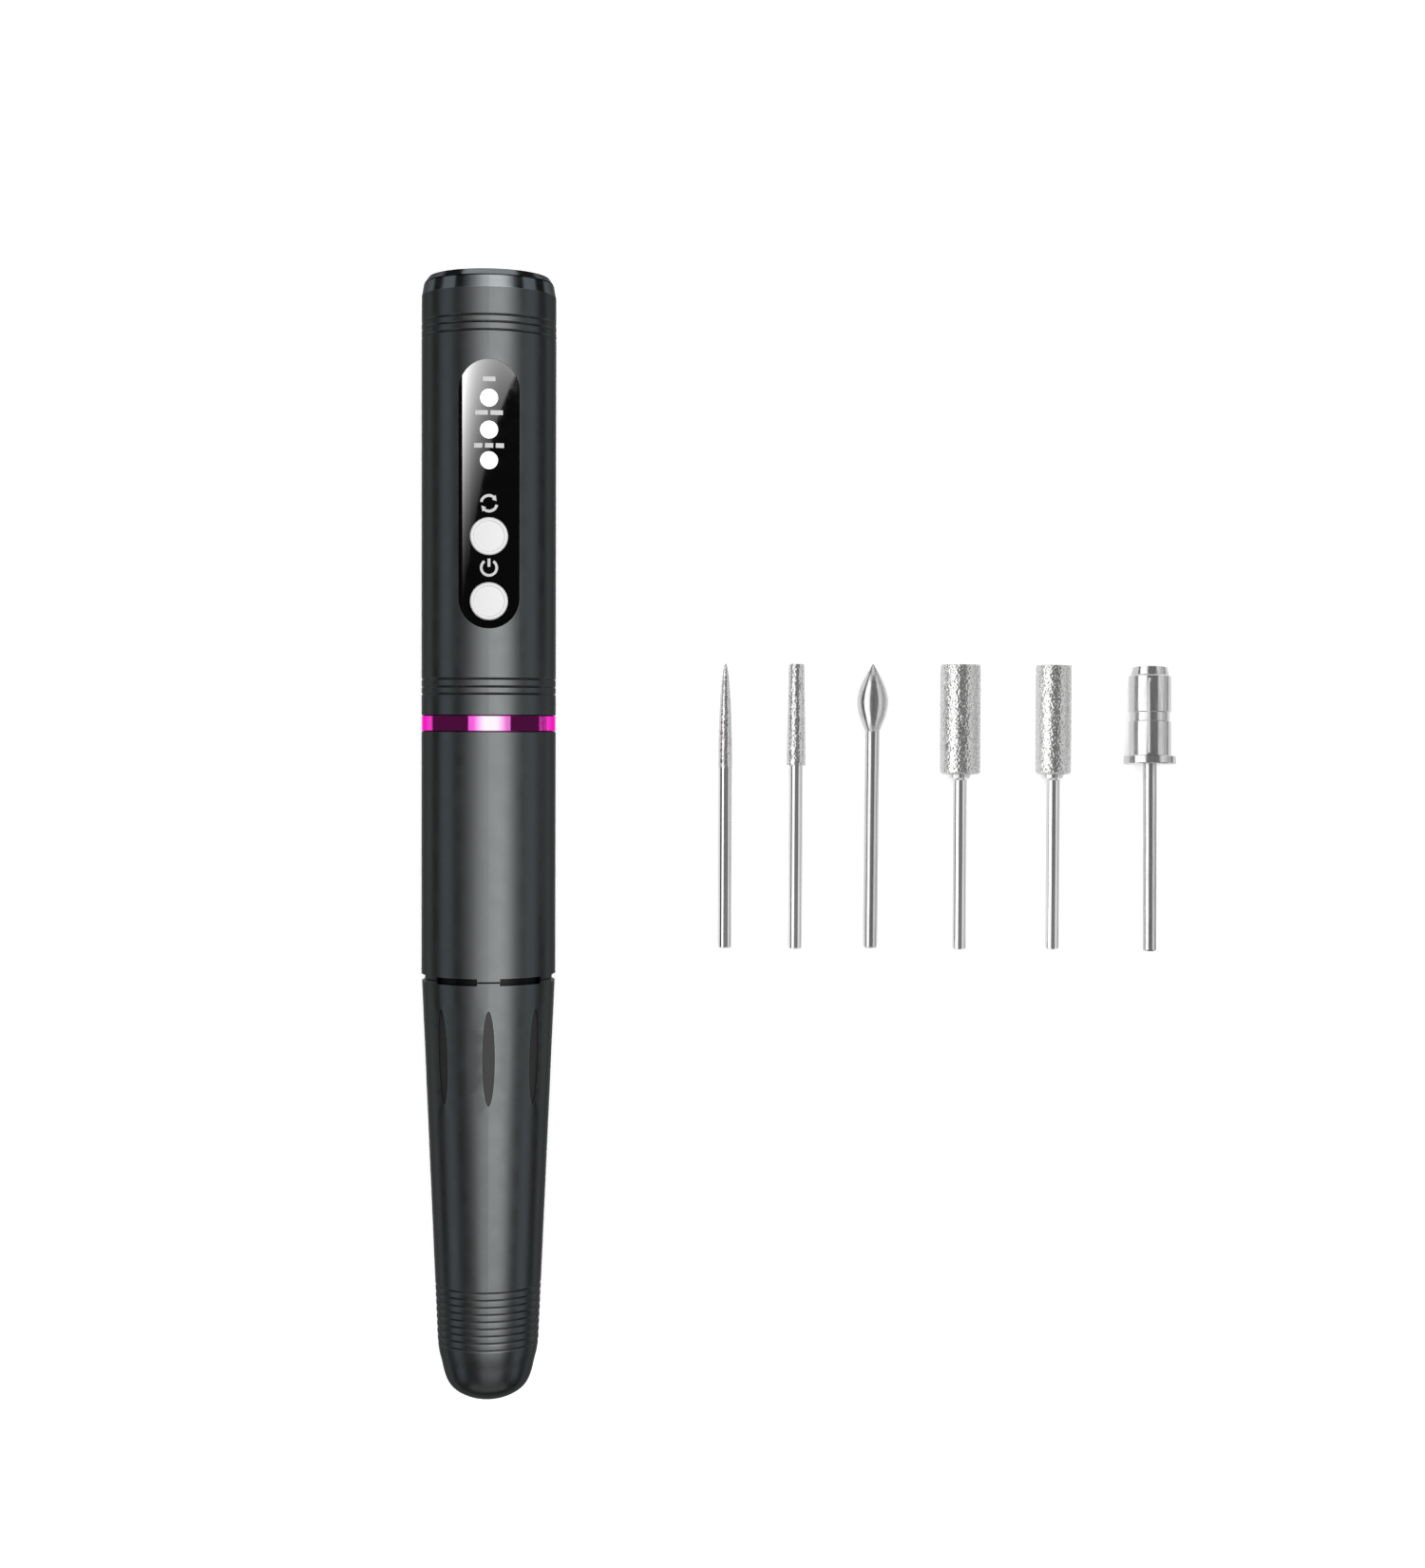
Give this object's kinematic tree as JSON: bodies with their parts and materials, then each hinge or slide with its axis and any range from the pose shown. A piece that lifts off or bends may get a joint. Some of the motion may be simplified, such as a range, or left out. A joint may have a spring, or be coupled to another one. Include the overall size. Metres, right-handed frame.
{
  "type": "electric nail drill",
  "caption": "Cordless pen-shaped nail drill: dark tapered aluminium body, pull-off nose cap, twist-lock chuck, black control panel, mirror ring, and loose shank bits beside it.",
  "frame": {"origin": "on the pen's axis at the mouth of the chuck", "axes": "+Y along the pen towards its tail, +Z out of the control panel, +X to the right, towards the loose bits; the table is z = -0.0105"},
  "size_m": [0.1227, 0.1759, 0.0211],
  "materials": {
    "dark_casing": "satin, dark grey anodised",
    "polished_bevel": "polished, dark grey anodised",
    "magenta_mirror": "mirror",
    "grip_rubber": "matt",
    "panel_black": "high gloss",
    "button_white": "gloss",
    "light_diffuser": "gloss",
    "bit_steel": "ground",
    "bit_chrome": "polished",
    "bearing_steel": "ground",
    "spring_steel": "drawn",
    "snout_metal": "machined",
    "lock_metal": "satin, dark grey anodised",
    "silicone": "matt",
    "coupling_rubber": "matt",
    "motor_steel": "zinc plated",
    "magnet": "matt",
    "core_steel": "laminated",
    "copper": "enamelled wire",
    "brass": "turned",
    "carbon": "matt",
    "motor_plastic": "moulded",
    "carrier_plastic": "moulded",
    "circuit_board": "solder resist",
    "cell_wrap": "shrink wrap",
    "wire_insulation": "extruded",
    "screw_steel": "zinc plated",
    "socket_steel": "drawn"
  },
  "bodies": {
    "body_shell": {"motor_housing": "dark_casing", "accent_ring": "magenta_mirror", "control_housing": "dark_casing", "tail_cap": "polished_bevel", "front_housing": "snout_metal", "nose_ring": "lock_metal", "seal_rings": "silicone", "bearing_outer_races": "bearing_steel", "bearing_balls": "bearing_steel", "bearing_clip": "spring_steel", "lock_ring_clip": "spring_steel", "motor_plate": "motor_steel", "motor_screws": "screw_steel", "motor_can": "motor_steel", "motor_end_bell": "motor_plastic", "motor_bushes": "brass", "motor_magnets": "magnet", "motor_brushes": "carbon", "motor_terminals": "brass", "motor_sleeve": "silicone", "panel_lens": "panel_black", "light_pipes": "light_diffuser", "status_leds": "light_diffuser", "switches": "motor_plastic", "control_board": "circuit_board", "board_screws": "screw_steel", "battery_carrier": "carrier_plastic", "battery_cell": "cell_wrap", "battery_contacts": "socket_steel", "wiring": "wire_insulation", "charge_board": "circuit_board", "charge_socket": "socket_steel"},
    "nose_cap": {"protective_cap": "dark_casing", "grip_inlays": "grip_rubber"},
    "spindle": {"spindle": "bearing_steel", "bearing_inner_races": "bearing_steel", "closing_spring": "spring_steel", "driven_coupling": "snout_metal", "drive_coupling": "snout_metal", "coupling_spider": "coupling_rubber", "motor_shaft": "bearing_steel", "rotor_core": "core_steel", "rotor_windings": "copper", "commutator": "copper"},
    "collet": {"collet": "bearing_steel", "cross_pin": "spring_steel", "thrust_ring": "brass"},
    "lock_ring": {"lock_ring": "lock_metal"},
    "release_collar": {"release_collar": "brass", "cam_pins": "spring_steel"},
    "direction_button": {"direction_button": "button_white"},
    "power_button": {"power_button": "button_white"},
    "needle_bit": {"bit_needle": "bit_steel"},
    "taper_bit": {"bit_taper": "bit_steel"},
    "flame_bit": {"bit_flame": "bit_chrome"},
    "large_barrel_bit": {"bit_barrel_large": "bit_steel"},
    "small_barrel_bit": {"bit_barrel_small": "bit_steel"},
    "band_mandrel": {"bit_band_mandrel": "bit_chrome"}
  },
  "joints": [
    {"name": "cap_pull", "type": "slide", "parent": "body_shell", "child": "nose_cap", "axis": [0, -1, 0], "range_m": [0, 0.08]},
    {"name": "spindle_spin", "type": "hinge", "parent": "body_shell", "child": "spindle", "pos_m": [0, 0.02, 0], "axis": [0, 1, 0], "continuous": true},
    {"name": "lock_ring_twist", "type": "hinge", "parent": "body_shell", "child": "lock_ring", "pos_m": [0, 0.0186, 0], "axis": [0, 1, 0], "range_deg": [0, 90]},
    {"name": "release_collar_slide", "type": "slide", "parent": "body_shell", "child": "release_collar", "axis": [0, -1, 0], "range_m": [0, 0.0011]},
    {"name": "collet_slide", "type": "slide", "parent": "spindle", "child": "collet", "axis": [0, -1, 0], "range_m": [0, 0.00085], "deforming": ["closing_spring"]},
    {"name": "direction_button_press", "type": "slide", "parent": "body_shell", "child": "direction_button", "axis": [0, 0, -1], "range_m": [0, 0.0003]},
    {"name": "power_button_press", "type": "slide", "parent": "body_shell", "child": "power_button", "axis": [0, 0, -1], "range_m": [0, 0.0003]},
    {"name": "needle_bit_lift", "type": "slide", "parent": "body_shell", "child": "needle_bit", "axis": [0, 0, 1], "range_m": [0, 0.06]},
    {"name": "taper_bit_lift", "type": "slide", "parent": "body_shell", "child": "taper_bit", "axis": [0, 0, 1], "range_m": [0, 0.06]},
    {"name": "flame_bit_lift", "type": "slide", "parent": "body_shell", "child": "flame_bit", "axis": [0, 0, 1], "range_m": [0, 0.06]},
    {"name": "large_barrel_bit_lift", "type": "slide", "parent": "body_shell", "child": "large_barrel_bit", "axis": [0, 0, 1], "range_m": [0, 0.06]},
    {"name": "small_barrel_bit_lift", "type": "slide", "parent": "body_shell", "child": "small_barrel_bit", "axis": [0, 0, 1], "range_m": [0, 0.06]},
    {"name": "band_mandrel_lift", "type": "slide", "parent": "body_shell", "child": "band_mandrel", "axis": [0, 0, 1], "range_m": [0, 0.06]}
  ],
  "couplings": [
    {"joint": "release_collar_slide", "follows": "lock_ring_twist", "m_per_rad": 0.00070028},
    {"joint": "collet_slide", "follows": "lock_ring_twist", "m_per_rad": 0.00054113}
  ]
}
